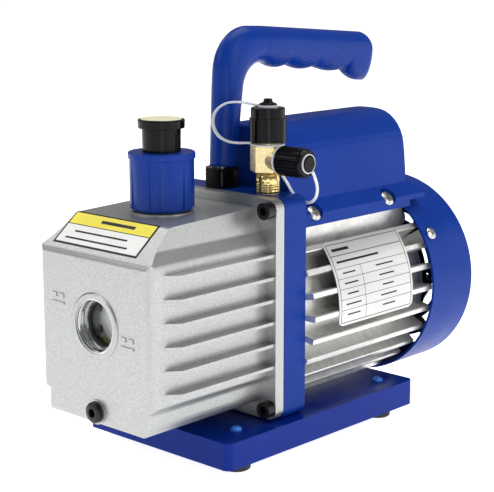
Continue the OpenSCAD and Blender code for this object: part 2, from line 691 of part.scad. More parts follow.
handle_stations = concat([for (k = [0:6]) k / 6], [for (k = [1:12]) 1 + k / 12],
    [for (k = [1:38]) 2 + k / 42],
    [for (k = [1:7]) 2 + 38 / 42 + 4 / 42 * (1 - pow(1 - k / 7, 2))]);
handle_sides = 24;

module handle() color(paint_blue) difference() {
    rings = [for (s = handle_stations) let(l = handle_line(s), up = handle_over(s), down = handle_under(s),
        w = handle_half(s))
        [for (k = [0:handle_sides - 1]) let(t = 360 * k / handle_sides, v = sin(t) * (sin(t) > 0 ? up : down))
            [handle_x + w * cos(t), l[0] - v * sin(l[2]), l[1] + v * cos(l[2])]]];
    n = len(rings);
    polyhedron(points = [for (r = rings) each r],
        faces = concat([[for (k = [handle_sides - 1:-1:0]) k]],
            [[for (k = [0:handle_sides - 1]) handle_sides * (n - 1) + k]],
            [for (i = [0:n - 2], k = [0:handle_sides - 1]) [handle_sides * i + k,
                handle_sides * i + (k + 1) % handle_sides,
                handle_sides * (i + 1) + (k + 1) % handle_sides, handle_sides * (i + 1) + k]]),
        convexity = 10);
    rod_z(4.05, nut_top - 5, 192, handle_x, port_y);
    translate([handle_x - 15, port_y - 15, nut_top - 10]) cube([30, 30, 10.2]);
}

module handle_nut() color(dark_plastic) difference() {
    translate([handle_x, port_y, flange_top]) rotate([0, 0, 13]) intersection() {
        cylinder(r = 11.5, h = nut_top - flange_top, $fn = 6);
        rotate_extrude() polygon([[0, 0], [10.4, 0], [11.2, 1.4], [11.2, 10.2], [10.2, 11.9], [0, 11.9]]);
    }
    rod_z(4.05, flange_top - 1, nut_top + 1, handle_x, port_y);
}

module handle_stud() color(bare_metal) rod_z(3.95, 138.5, 190, handle_x, port_y);

// ---- motor -------------------------------------------------------------------------

core_r = 47;
wall_r = 50.3;
foot_half = 22;
stator_y0 = 15;
stator_y1 = 65;
bell_screw_spots = [[-30, 124.5], [30, 124.5], [-16, 31.5], [16, 31.5]];

module motor_fin(a) {
    translate([0, shaft_z]) rotate([0, 0, a])
        polygon([[wall_r - 1.5, -1.7], [fin_r - 0.6, -1.9], [fin_r, -1.4], [fin_r, 1.4],
            [fin_r - 0.6, 1.9], [wall_r - 1.5, 1.7]]);
}

module motor_housing() color([0.72, 0.73, 0.72]) difference() {
    along_y(bracket_end, housing_end) {
        translate([0, shaft_z]) circle(r = wall_r, $fn = 96);
        polygon(outline([[-shelf_x, 100, 0], [shelf_x, 100, 0], [shelf_x, shelf_z, 1],
            [-shelf_x, shelf_z, 1]]));
        polygon([[-foot_half, tray_top], [foot_half, tray_top], [foot_half, 45], [-foot_half, 45]]);
        for (k = [-4:3]) {
            motor_fin(fin_pitch * k);
            motor_fin(180 - fin_pitch * k);
        }
    }
    rod_y(core_r, bracket_end - 1, housing_end + 1, $fn = 96);
    translate([-12, bracket_end - 1, tray_top - cut]) cube([24, 125, 3]);
    rod_z(8, 120, shelf_z + 1, 0, 20);
    for (i = [2:3]) rod_z(3, tray_top - cut, 33.2, base_bolt_spots[i][0], base_bolt_spots[i][1]);
    for (p = bell_screw_spots) rod_y(2, housing_end - 12, housing_end + 1, p[0], p[1]);
    for (s = box_screw_spots) box_screw_place(s) cylinder(r = 2.1, h = 30);
}

module stator_core() color([0.45, 0.46, 0.48]) difference() {
    rod_y(core_r - 0.05, stator_y0, stator_y1);
    rod_y(25, stator_y0 - 1, stator_y1 + 1);
    for (i = [0:23]) translate([0, 0, shaft_z]) rotate([0, 15 * i, 0])
        translate([24, stator_y0 - 1, -1.6]) cube([12, stator_y1 - stator_y0 + 2, 3.2]);
}

module stator_windings() color([0.72, 0.42, 0.20]) {
    for (y = [[stator_y0 - 15, stator_y0], [stator_y1, stator_y1 + 15]]) difference() {
        rod_y(41, y[0], y[1]);
        rod_y(27, y[0] - 1, y[1] + 1);
    }
    for (i = [0:23]) translate([0, 0, shaft_z]) rotate([0, 15 * i, 0])
        translate([27.4, stator_y0 - 0.5, -1.45]) cube([8.2, stator_y1 - stator_y0 + 1, 2.9]);
}

module motor_rotor() color([0.55, 0.56, 0.58]) difference() {
    union() {
        rod_y(24.6, stator_y0, stator_y1);
        rod_y(22, stator_y0 - 6, stator_y1 + 6);
    }
    rod_y(7.5, stator_y0 - 7, stator_y1 + 7);
}

module motor_shaft() color([0.7, 0.71, 0.73]) difference() {
    union() {
        rod_y(shaft_r, pump_y0 - 6.2, 104);
        rod_y(7.5, -16, 88);
        rod_y(5, 103, 128);
    }
    translate([-key_w / 2, -66.2, shaft_z + shaft_r - 1.6]) cube([key_w, 26.4, 4]);
    difference() {
        rod_y(5.5, 125.2, 126.4);
        rod_y(4.4, 125, 127);
    }
}

// A shielded ball bearing: two rings joined by a shield on each side
module bearing(y0) difference() {
    rod_y(bearing_r - 0.02, y0, y0 + 10);
    rod_y(shaft_r + 0.03, y0 - 1, y0 + 11);
    for (y = [y0 - 1, y0 + 9.4]) difference() {
        rod_y(12.6, y, y + 1.6);
        rod_y(9, y - 1, y + 3);
    }
}

rear_bearing_y = 92.4;

module front_bearing() color(bare_metal) bearing(bearing_y0);

module rear_bearing() color(bare_metal) bearing(rear_bearing_y);

cover_screw_angles = [31.4, 148.6, 270];
cover_screw_y = 103.8;

module rear_end_bell() color([0.60, 0.61, 0.60]) difference() {
    union() {
        rod_y(50, housing_end, 104.6);
        rod_y(20, rear_bearing_y - 1, 104.6);
        for (p = bell_screw_spots) rod_y(6, housing_end, 103, p[0], p[1]);
        for (a = cover_screw_angles) translate([0, 0, shaft_z]) rotate([0, -a, 0])
            translate([44, housing_end, -5.5]) cube([19, 9, 11]);
    }
    rod_y(bearing_r, rear_bearing_y - 2, rear_bearing_y + 10);
    rod_y(shaft_r + 1, rear_bearing_y, 106);
    for (p = bell_screw_spots) {
        rod_y(2.2, housing_end - 1, 106, p[0], p[1]);
        rod_y(3.9, 103, 106, p[0], p[1]);
    }
    for (a = cover_screw_angles) translate([0, cover_screw_y, shaft_z])
        rotate([0, 90 - a, 0]) cylinder(r = 2, h = 70);
    for (a = [65:30:115], f = [0, 180]) translate([0, 0, shaft_z]) rotate([0, a + f, 0])
        rod_y(5, housing_end - 1, 106, 36, 0);
}

module end_bell_screws() color(bare_metal) for (p = bell_screw_spots) difference() {
    union() {
        rod_y(3.6, 103, 105.6, p[0], p[1]);
        rod_y(1.95, housing_end - 11, 103.1, p[0], p[1]);
    }
    translate([p[0] - 3, 104.8, p[1] - 0.5]) cube([6, 2, 1]);
}

module fan() color([0.13, 0.13, 0.14]) difference() {
    blades = 9;
    union() {
        rod_y(11, 110.5, 124.8);
        rod_y(48, 110.5, 112);
        for (i = [0:blades - 1]) translate([0, 0, shaft_z]) rotate([0, 360 / blades * i, 0])
            translate([9, 110.5, -1]) cube([47, 14, 2]);
    }
    rod_y(5.02, 109, 126);
}

module fan_cover() color(paint_blue) difference() {
    wall = 1.6;
    depth = rear_y - cover_y;
    turned_y(rear_y) polygon(outline([[0, 0, 0], [cover_r, 0, 2.8], [cover_r, depth, 0], [cover_r - wall,
        depth, 0],
        [cover_r - wall, wall, 1.6], [0, wall, 0]]));
    along_y(rear_y - 4, rear_y + 1) translate([0, shaft_z]) difference() {
        for (r = [15, 24, 33, 42, 51]) difference() {
            circle(r = r + 5.4);
            circle(r = r);
        }
        for (a = [0:60:120]) rotate([0, 0, a]) square([130, 5], center = true);
    }
    for (a = cover_screw_angles) translate([0, cover_screw_y, shaft_z])
        rotate([0, 90 - a, 0]) cylinder(r = 2.2, h = 70);
}

module fan_cover_screws() color(bare_metal) for (a = cover_screw_angles)
    translate([0, cover_screw_y, shaft_z]) rotate([0, 90 - a, 0]) difference() {
        union() {
            translate([0, 0, 55]) cylinder(r = 1.95, h = cover_r - 55 + 0.2);
            translate([0, 0, cover_r]) rotate_extrude()
                polygon(outline([[0, 0, 0], [4.1, 0, 0], [4.1, 1.4, 1], [2, 2.3, 1], [0, 2.3, 0]]));
        }
        for (b = [0, 90]) rotate([0, 0, b]) translate([0, 0, cover_r + 2.2]) cube([3.6, 0.8, 2],
            center = true);
    }

// ---- top box -----------------------------------------------------------------------

box_crease = 149.5;
hump_x = 4.5;
lip_z = shelf_z + 0.2;
shoulder_x = 44.4;
shoulder_z = 141.8;
shoulder_y0 = bracket_end + 0.3;
shoulder_y1 = 113.2;

// Cross-section of the box, pulled in by t: the hump stands a little to the right of the middle
function box_section(t) = [[31.4 - t, box_top - 0.8 - t, 25 - t], [37.5 - t, box_crease + 0.3 * t, 2],
    [shoulder_x - t, shoulder_z - 0.3 * t, 1.2], [shoulder_x + 0.4 - t, lip_z - (t > 0 ? 2 : 0), 0],
    [t - shoulder_x - 0.4, lip_z - (t > 0 ? 2 : 0), 0], [t - shoulder_x, shoulder_z - 0.3 * t, 1.2],
    [0.7 * t - 36.8, box_crease - t - 0.6, 1.2], [t - 28.6, box_crease - t, 2], [t - 22.5,
        box_top - 0.8 - t, 25 - t],
    [hump_x, box_top - t, 0]];

function box_long(t) = [[shoulder_y0 + t, shelf_z - 3, 0], [shoulder_y0 + t, 145, 1], [box_y0 + t,
    box_crease, 0],
    [box_y0 + t, box_top - 1.7 - t, 4], [box_y1 - t, box_top + 0.2 - t, 3], [box_y1 - t,
        box_crease + 0.3 * t, 1.5],
    [shoulder_y1 - 1 - t, shoulder_z - 1, 1], [shoulder_y1 - t, shelf_z - 3, 0]];

module box_solid(t) {
    intersection() {
        along_y(shoulder_y0 - 1, shoulder_y1 + 1) polygon(outline(box_section(t), 8));
        along_x(-60, 60) polygon(outline(box_long(t)));
        union() {
            translate([0, 0, box_crease]) linear_extrude(60)
                panel(t - 30, box_y0 + t, 39 - t, box_y1 - t, 5 - t / 2);
            translate([-60, -60, 120]) cube([120, 200, box_crease - 120]);
        }
    }
}

box_screw_tilt = 43;
box_screw_spots = [[1, 2.2], [1, 75], [-1, 2.2], [-1, 75]];

// Puts children on the axis of a box screw, +Z pointing inwards from the shoulder
module box_screw_place(s) {
    translate([s[0] * 41.6, s[1], 142.4]) rotate([0, s[0] * (180 + box_screw_tilt), 0]) children();
}

module top_box() color(paint_blue) difference() {
    union() {
        difference() {
            box_solid(0);
            box_solid(2);
        }
        intersection() {
            box_solid(0);
            for (s = box_screw_spots) box_screw_place(s) translate([0, 0, -6]) cylinder(r = 7.6, h = 12.5);
        }
    }
    for (s = box_screw_spots) box_screw_place(s) {
        translate([0, 0, -12]) cylinder(r = 6.3, h = 13.5);
        cylinder(r = 2.2, h = 10);
    }
    rod_y(cover_r + 0.4, cover_y - 0.6, shoulder_y1 + 2);
    translate([-60, cover_y - 0.6, lip_z - 5]) cube([120, 30, 9]);
    translate([inlet_x - 13.8, box_y1 - 4, panel_z - 10]) cube([27.6, 8, 20]);
    translate([switch_x - 6.6, box_y1 - 4, panel_z - 11]) cube([13.2, 8, 22]);
}

module box_screws() color(bare_metal) for (s = box_screw_spots) box_screw_place(s) difference() {
    union() {
        translate([0, 0, 1.5]) cylinder(r = 2.05, h = 15);
        translate([0, 0, 1.5]) mirror([0, 0, 1]) rotate_extrude()
            polygon(outline([[0, 0, 0], [5.6, 0, 0], [5.6, 0.9, 0.4], [4, 2.4, 1.2], [2, 2.8, 1],
                [0, 2.8, 0]]));
    }
    for (b = [0, 90]) rotate([0, 0, b]) translate([0, 0, -1.2]) cube([4.6, 1, 2], center = true);
}

module run_capacitor() color([0.85, 0.85, 0.82]) {
    rod_y(16.5, 8, 66, -8, 151);
    for (x = [-13, -3]) translate([x - 0.4, 66 - cut, 147.9]) cube([0.8, 8, 6.3]);
}

rocker_y = box_y1 - 2.6;

module power_switch() color([0.10, 0.10, 0.11]) difference() {
    union() {
        translate([switch_x - 8, box_y1, panel_z - 13]) cube([16, 1.6, 26]);
        translate([switch_x - 6.5, box_y1 - 19, panel_z - 10.9]) cube([13, 20, 21.8]);
        for (z = [-6, 6]) translate([switch_x - 3, box_y1 - 26, panel_z + z - 0.4]) cube([6, 8, 0.8]);
    }
    translate([switch_x - 5.2, rocker_y - 5, panel_z - 10]) cube([10.4, 20, 20]);
    rod_x(1.25, switch_x - 6, switch_x + 6, rocker_y, panel_z);
}

// At rest the lower half of the rocker is pressed in
module switch_rocker() color([0.75, 0.10, 0.08]) translate([0, rocker_y, panel_z]) rotate([-8, 0, 0]) {
    along_x(switch_x - 4.9, switch_x + 4.9) polygon([[-3, -9], [3.4, -9.2], [2.2, -4], [1.9, 0], [2.2, 4],
        [3.4, 9.2], [-3, 9]]);
    rod_x(1.2, switch_x - 5.9, switch_x + 5.9, 0, 0);
}

module power_inlet() color([0.07, 0.07, 0.07]) difference() {
    union() {
        along_y(box_y1, box_y1 + 2) panel(inlet_x - 15.5, panel_z - 12, inlet_x + 15.5, panel_z + 12, 2);
        translate([inlet_x - 13.7, box_y1 - 18, panel_z - 9.9]) cube([27.4, 18.5, 19.8]);
    }
    difference() {
        along_y(box_y1 - 14.5, box_y1 + 3) translate([inlet_x, panel_z])
            polygon([[-12.2, -8.4], [12.2, -8.4], [12.2, 4.4], [8.2, 8.4], [-8.2, 8.4], [-12.2, 4.4]]);
        for (p = [[-7, -2], [0, 2], [7, -2]])
            translate([inlet_x + p[0] - 1, box_y1 - 16, panel_z + p[1] - 2]) cube([2, 13, 4]);
    }
}

// ---- plate -------------------------------------------------------------------------

module nameplate() color([0.80, 0.81, 0.80]) intersection() {
    difference() {
        rod_y(fin_r + 0.45, 3.6, 77.6, $fn = 96);
        rod_y(fin_r + 0.02, 3, 78, $fn = 96);
    }
    translate([0, 3, shaft_z]) rotate([90, 0, 180]) mirror([1, 0, 0]) linear_extrude(75)
        polygon([[0, 0], [90 * cos(-8), 90 * sin(-8)], [90, 20], [90 * cos(41), 90 * sin(41)]]);
}

// ---- drawing -----------------------------------------------------------------------

base_plate();
rubber_feet();
foot_screws();
foot_nuts();
base_bolts();
support_bracket();
tank_gasket();
oil_tank();
tank_screws();
sight_glass_ring();
sight_glass_lens();
sight_glass_seal();
sight_glass_plate();
drain_plug();
drain_seal();
exhaust_filter();
filter_element();
filter_seal();
exhaust_cap();
exhaust_cap_disc();
pump_cylinder();
pump_end_plate();
pump_screws();
pump_rotor();
pump_vanes();
vane_springs();
rotor_key();
exhaust_reed();
reed_stop();
shaft_seal();
intake_fitting();
intake_screen();
top_cap();
top_cap_ring();
top_strap();
side_cap();
side_cap_ring();
side_strap();
handle();
handle_nut();
handle_stud();
motor_housing();
stator_core();
stator_windings();
motor_rotor();
motor_shaft();
front_bearing();
rear_bearing();
rear_end_bell();
end_bell_screws();
fan();
fan_cover();
fan_cover_screws();
top_box();
box_screws();
run_capacitor();
power_switch();
switch_rocker();
power_inlet();
nameplate();
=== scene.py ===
"""Looks of the rotary vane vacuum pump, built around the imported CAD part. Metres, row frame."""
import json
import math

import bmesh
import bpy
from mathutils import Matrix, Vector


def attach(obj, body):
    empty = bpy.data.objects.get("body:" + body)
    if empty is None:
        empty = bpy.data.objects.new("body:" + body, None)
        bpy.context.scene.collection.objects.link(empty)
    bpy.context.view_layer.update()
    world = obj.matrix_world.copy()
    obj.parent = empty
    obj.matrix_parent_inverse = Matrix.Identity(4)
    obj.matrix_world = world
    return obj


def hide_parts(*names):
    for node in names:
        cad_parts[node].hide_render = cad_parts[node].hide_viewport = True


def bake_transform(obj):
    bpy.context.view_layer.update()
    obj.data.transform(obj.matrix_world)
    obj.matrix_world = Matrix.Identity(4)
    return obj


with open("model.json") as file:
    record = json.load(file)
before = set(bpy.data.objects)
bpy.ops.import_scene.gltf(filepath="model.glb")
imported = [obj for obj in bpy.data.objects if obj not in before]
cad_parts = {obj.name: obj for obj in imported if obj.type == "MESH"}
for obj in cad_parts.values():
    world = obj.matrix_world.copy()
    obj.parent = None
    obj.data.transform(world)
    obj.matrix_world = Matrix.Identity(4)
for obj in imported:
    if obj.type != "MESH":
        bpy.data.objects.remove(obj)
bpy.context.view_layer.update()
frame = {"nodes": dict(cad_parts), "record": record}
nodes = frame["nodes"]
MM = 0.001


# Axes and heights of the part that several pieces share, in millimetres.
PORT_X, PORT_Y, SIDE_PORT_Z = 31.5, -28.1, 177
MOTOR_Z = 82.2
GLASS_Z = 90.6


# ---- camera, light and floor ------------------------------------------------------

AZIMUTH, ELEVATION = math.radians(42.92), math.radians(11.60)
TARGET = Vector((1.01, -13.35, 118.01)) * MM
DISTANCE = 0.87147
SENSOR, LENS = 36, 102.44
LIGHT_AIM = Vector((0, 0, 0.11))


def add_camera():
    back = Vector((math.sin(AZIMUTH) * math.cos(ELEVATION), -math.cos(AZIMUTH) * math.cos(ELEVATION),
                   math.sin(ELEVATION)))
    data = bpy.data.cameras.new("camera")
    data.sensor_width = SENSOR
    data.lens = LENS
    data.clip_end = 60
    camera = bpy.data.objects.new("camera", data)
    camera.location = TARGET + back * DISTANCE
    camera.rotation_mode = "QUATERNION"
    camera.rotation_quaternion = (-back).to_track_quat("-Z", "Y")
    bpy.context.scene.collection.objects.link(camera)
    bpy.context.scene.camera = camera


def add_light(name, place, size, power):
    data = bpy.data.lights.new(name, "AREA")
    data.shape = "RECTANGLE"
    data.size, data.size_y = size
    data.energy = power
    light = bpy.data.objects.new(name, data)
    light.location = place
    light.rotation_mode = "QUATERNION"
    light.rotation_quaternion = (LIGHT_AIM - Vector(place)).to_track_quat("-Z", "Y")
    bpy.context.scene.collection.objects.link(light)


def add_world(strength):
    world = bpy.data.worlds.new("studio")
    world.use_nodes = True
    background = world.node_tree.nodes["Background"]
    background.inputs["Color"].default_value = (1, 1, 1, 1)
    background.inputs["Strength"].default_value = strength
    bpy.context.scene.world = world


# ---- materials --------------------------------------------------------------------

class Shader:
    """A principled material whose nodes are wired with short calls."""

    def __init__(self, name, colour, roughness, metallic=0.0, **sockets):
        self.material = bpy.data.materials.new(name)
        self.material.use_nodes = True
        self.tree = self.material.node_tree
        self.bsdf = self.tree.nodes["Principled BSDF"]
        self.colour = colour
        self.roughness = roughness
        self.bsdf.inputs["Metallic"].default_value = metallic
        for key, value in sockets.items():
            self.bsdf.inputs[key.replace("_", " ")].default_value = value
        self.place = self.node("ShaderNodeTexCoord").outputs["Object"]
        self.bump = None

    def node(self, kind, **values):
        node = self.tree.nodes.new(kind)
        for key, value in values.items():
            if hasattr(node, key):
                setattr(node, key, value)
            else:
                node.inputs[key.replace("_", " ")].default_value = value
        return node

    def link(self, source, target):
        self.tree.links.new(source, target)

    def stretched(self, scale):
        mapping = self.node("ShaderNodeMapping")
        self.link(self.place, mapping.inputs["Vector"])
        mapping.inputs["Scale"].default_value = scale
        return mapping.outputs["Vector"]

    def noise(self, scale, detail=3.0, stretch=None):
        noise = self.node("ShaderNodeTexNoise", Scale=scale, Detail=detail)
        self.link(self.stretched(stretch) if stretch else self.place, noise.inputs["Vector"])
        return noise.outputs["Fac"]

    def ranged(self, value, low, high, to_low, to_high):
        node = self.node("ShaderNodeMapRange")
        self.link(value, node.inputs["Value"])
        for key, number in (("From Min", low), ("From Max", high), ("To Min", to_low), ("To Max", to_high)):
            node.inputs[key].default_value = number
        return node.outputs["Result"]

    def tint(self, scale, amount, other=None, stretch=None, low=0.35, high=0.65):
        """Colour drifts between the base colour and other, or a darker copy of it."""
        other = other or tuple(c * (1 - amount) for c in self.colour)
        mix = self.node("ShaderNodeMix", data_type="RGBA")
        self.link(self.ranged(self.noise(scale, 4, stretch), low, high, 0, 1), mix.inputs[0])
        mix.inputs[6].default_value = (*self.colour, 1)
        mix.inputs[7].default_value = (*other, 1)
        self.link(mix.outputs[2], self.bsdf.inputs["Base Color"])
        return self

    def gloss(self, scale, spread, stretch=None):
        self.link(self.ranged(self.noise(scale, 3, stretch), 0.3, 0.7, self.roughness - spread,
                              self.roughness + spread), self.bsdf.inputs["Roughness"])
        return self

    def grain(self, scale, height, detail=2.0, stretch=None):
        """Relief of that height in millimetres at full noise range."""
        bump = self.node("ShaderNodeBump", Strength=1.0, Distance=height * MM)
        self.link(self.noise(scale, detail, stretch), bump.inputs["Height"])
        if self.bump:
            self.link(self.bump, bump.inputs["Normal"])
        self.bump = bump.outputs["Normal"]
        self.link(self.bump, self.bsdf.inputs["Normal"])
        return self


def make_materials():
    blue = (0.003, 0.034, 0.26)
    return {
        "blue_paint": Shader("blue_paint", blue, 0.34, Specular_IOR_Level=0.1)
            .tint(35, 0.10).gloss(60, 0.05).grain(700, 0.03),
        "base_paint": Shader("base_paint", (0.001, 0.020, 0.225), 0.22, Specular_IOR_Level=0.1)
            .tint(30, 0.12).gloss(50, 0.05).grain(1100, 0.012),
        # Foot screw heads: the base's blue paint, made much lighter so that the colour also carries a painted
        # highlight on their domes.
        "screw_paint_and_highlight": Shader("screw_paint_and_highlight", (0.03, 0.22, 0.80), 0.16)
            .tint(200, 0.2).gloss(200, 0.05).grain(900, 0.02),
        "blue_plastic": Shader("blue_plastic", blue, 0.32, Specular_IOR_Level=0.14)
            .tint(28, 0.10).gloss(45, 0.06).grain(1300, 0.018),
        "box_plastic": Shader("box_plastic", blue, 0.40, Specular_IOR_Level=0.1)
            .tint(25, 0.08).gloss(40, 0.05).grain(900, 0.04),
        "silver_paint": Shader("silver_paint", (0.49, 0.50, 0.49), 0.36, 0.8)
            .tint(1400, 0.30, low=0.30, high=0.70).gloss(900, 0.08).grain(1300, 0.014),
        "cast_aluminium": Shader("cast_aluminium", (0.75, 0.75, 0.725), 0.36, 0.8)
            .tint(220, 0.14).gloss(150, 0.08).grain(900, 0.015),
        "black_plastic": Shader("black_plastic", (0.003, 0.003, 0.004), 0.18, Specular_IOR_Level=0.15)
            .tint(60, 0.3).gloss(90, 0.06).grain(800, 0.012),
        "black_steel": Shader("black_steel", (0.006, 0.006, 0.007), 0.30, Specular_IOR_Level=0.28)
            .tint(200, 0.35).gloss(200, 0.08).grain(1200, 0.02),
        "zinc_steel": Shader("zinc_steel", (0.62, 0.61, 0.58), 0.24, 1.0)
            .tint(260, 0.15).gloss(200, 0.08).grain(900, 0.015),
        "steel": Shader("steel", (0.55, 0.56, 0.57), 0.25, 1.0)
            .tint(200, 0.18, stretch=(1, 8, 1)).gloss(160, 0.08).grain(700, 0.015, stretch=(1, 6, 1)),
        "brass": Shader("brass", (0.78, 0.62, 0.30), 0.34, 0.85)
            .tint(1200, 0.2, (0.90, 0.78, 0.48)).gloss(600, 0.10).grain(1500, 0.03),
        "polished_brass": Shader("polished_brass", (0.82, 0.62, 0.26), 0.18, 1.0)
            .tint(200, 0.12).gloss(200, 0.05).grain(500, 0.008),
        "rubber": Shader("rubber", (0.012, 0.012, 0.012), 0.62)
            .tint(150, 0.3).gloss(120, 0.08).grain(900, 0.03),
        "strap_plastic": Shader("strap_plastic", (0.78, 0.81, 0.84), 0.30, Subsurface_Weight=0.35,
                                Subsurface_Radius=(0.004, 0.004, 0.004), Transmission_Weight=0.15)
            .tint(90, 0.06).gloss(120, 0.06).grain(500, 0.01),
        "cream_plastic": Shader("cream_plastic", (0.86, 0.84, 0.56), 0.36, Subsurface_Weight=0.15,
                                Subsurface_Radius=(0.003, 0.003, 0.002))
            .tint(70, 0.06).gloss(120, 0.05).grain(700, 0.01),
        "white_plastic": Shader("white_plastic", (0.72, 0.72, 0.69), 0.45)
            .tint(60, 0.08).gloss(90, 0.05).grain(800, 0.02),
        "filter_felt": Shader("filter_felt", (0.74, 0.71, 0.62), 0.9, Sheen_Weight=0.3)
            .tint(400, 0.2).gloss(200, 0.05).grain(900, 0.25, 5, (1, 1, 0.4)),
        "glass": Shader("glass", (0.96, 0.98, 0.97), 0.03, Transmission_Weight=1.0, IOR=1.47)
            .tint(80, 0.02).gloss(160, 0.02),
        "oil": Shader("oil", (0.80, 0.66, 0.16), 0.06, Transmission_Weight=0.75, IOR=1.47)
            .tint(120, 0.12).gloss(120, 0.03),
        "pump_iron": Shader("pump_iron", (0.16, 0.16, 0.165), 0.45, 0.85)
            .tint(120, 0.3).gloss(150, 0.1).grain(600, 0.06),
        "vane_fibre": Shader("vane_fibre", (0.10, 0.055, 0.03), 0.6)
            .tint(300, 0.3, stretch=(1, 0.2, 1)).gloss(200, 0.06).grain(1200, 0.02, 3, (1, 0.2, 1)),
        "copper_enamel": Shader("copper_enamel", (0.45, 0.14, 0.04), 0.28, 0.6)
            .tint(400, 0.35).gloss(200, 0.08).grain(500, 0.35, 2, (1, 0.3, 1)),
        "red_plastic": Shader("red_plastic", (0.45, 0.012, 0.010), 0.25)
            .tint(80, 0.12).gloss(100, 0.05).grain(900, 0.01),
        "gasket_sheet": Shader("gasket_sheet", (0.035, 0.037, 0.04), 0.8)
            .tint(300, 0.3).gloss(200, 0.06).grain(900, 0.05),
        "plate_silver": Shader("plate_silver", (0.66, 0.67, 0.66), 0.34, 0.5)
            .tint(26, 0.16, stretch=(1, 0.5, 1)).gloss(120, 0.06, (1, 0.1, 1))
            .grain(1400, 0.006, 2, (1, 0.1, 1)),
        "label_yellow": Shader("label_yellow", (0.85, 0.72, 0.01), 0.34)
            .tint(90, 0.05).gloss(120, 0.05).grain(500, 0.01),
        "label_white": Shader("label_white", (0.82, 0.82, 0.80), 0.34)
            .tint(90, 0.04).gloss(120, 0.05).grain(500, 0.01),
        "print_black": Shader("print_black", (0.010, 0.010, 0.010), 0.4, Specular_IOR_Level=0.2)
            .tint(300, 0.25).gloss(150, 0.06),
    }


NODE_LOOKS = {
    "base_plate": "base_paint", "top_box": "box_plastic", "exhaust_filter": "blue_plastic",
    "foot_screws": "screw_paint_and_highlight",
}


def dress(obj, look):
    obj.data.materials.clear()
    obj.data.materials.append(looks[look].material)


# ---- mesh helpers -----------------------------------------------------------------

def add_mesh(name, vertices, faces, look, body, smooth=True):
    mesh = bpy.data.meshes.new(name)
    mesh.from_pydata([tuple(v) for v in vertices], [], faces)
    bm = bmesh.new()
    bm.from_mesh(mesh)
    bmesh.ops.recalc_face_normals(bm, faces=bm.faces)
    bm.to_mesh(mesh)
    bm.free()
    mesh.shade_smooth() if smooth else mesh.shade_flat()
    obj = bpy.data.objects.new(name, mesh)
    bpy.context.scene.collection.objects.link(obj)
    dress(obj, look)
    if body:
        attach(obj, body)
    return obj


def tube_faces(rings, around, closed_ends=True, closed_loop=False):
    faces = [(around * i + k, around * i + (k + 1) % around, around * j + (k + 1) % around, around * j + k)
             for i in range(rings if closed_loop else rings - 1)
             for j in [(i + 1) % rings] for k in range(around)]
    if closed_ends and not closed_loop:
        faces += [tuple(range(around)), tuple(range(around * (rings - 1), around * rings))]
    return faces


def smooth_points(route, steps):
    """Points of a Catmull-Rom curve through the route."""
    points = []
    for i in range(len(route) - 1):
        a, b, c, d = route[max(i - 1, 0)], route[i], route[i + 1], route[min(i + 2, len(route) - 1)]
        for k in range(steps):
            t = k / steps
            points.append(0.5 * (2 * b + (c - a) * t + (2 * a - 5 * b + 4 * c - d) * t * t
                                 + (3 * b - a - 3 * c + d) * t ** 3))
    return points + [route[-1]]


def axis_frame(axis):
    """The axis with two directions across it."""
    axis = Vector(axis)
    u = axis.orthogonal().normalized()
    return axis, u, axis.cross(u)


def lathe(name, profile, centre, axis, look, body, around=96):
    """Turns (radius, height) points about an axis through centre; the profile is a closed loop."""
    axis, u, w = axis_frame(axis)
    vertices = [Vector(centre) * MM + (axis * z + (u * math.cos(a) + w * math.sin(a)) * r) * MM
                for k in range(around) for a in [2 * math.pi * k / around] for r, z in profile]
    return add_mesh(name, vertices, tube_faces(around, len(profile), closed_loop=True), look, body)


# ---- handle -----------------------------------------------------------------------

HANDLE_X = -6.0
LEAN = math.radians(4.5)
DROP = math.radians(4.2)
POST_FOOT_Z, NUT_TOP_Z = 158, 168.75
POST_LEN, GRIP_LEN, BEND_R = 57.7, 105.5, 27.0
# The bend's outer edge is a square corner of CORNER_REACH, rounded by BEND_OUT.
CORNER_REACH, BEND_OUT = 38, 26.0
LOBE_ENDS = (2, 24, 50.5, 82)
GROOVE_DEPTH, GROOVE_PITCH, SEAM_DEPTH = 0.34, 1.95, 0.14


def end_round(d, radius):
    return radius - math.sqrt(max(0, radius ** 2 - max(0, d - GRIP_LEN + radius) ** 2))


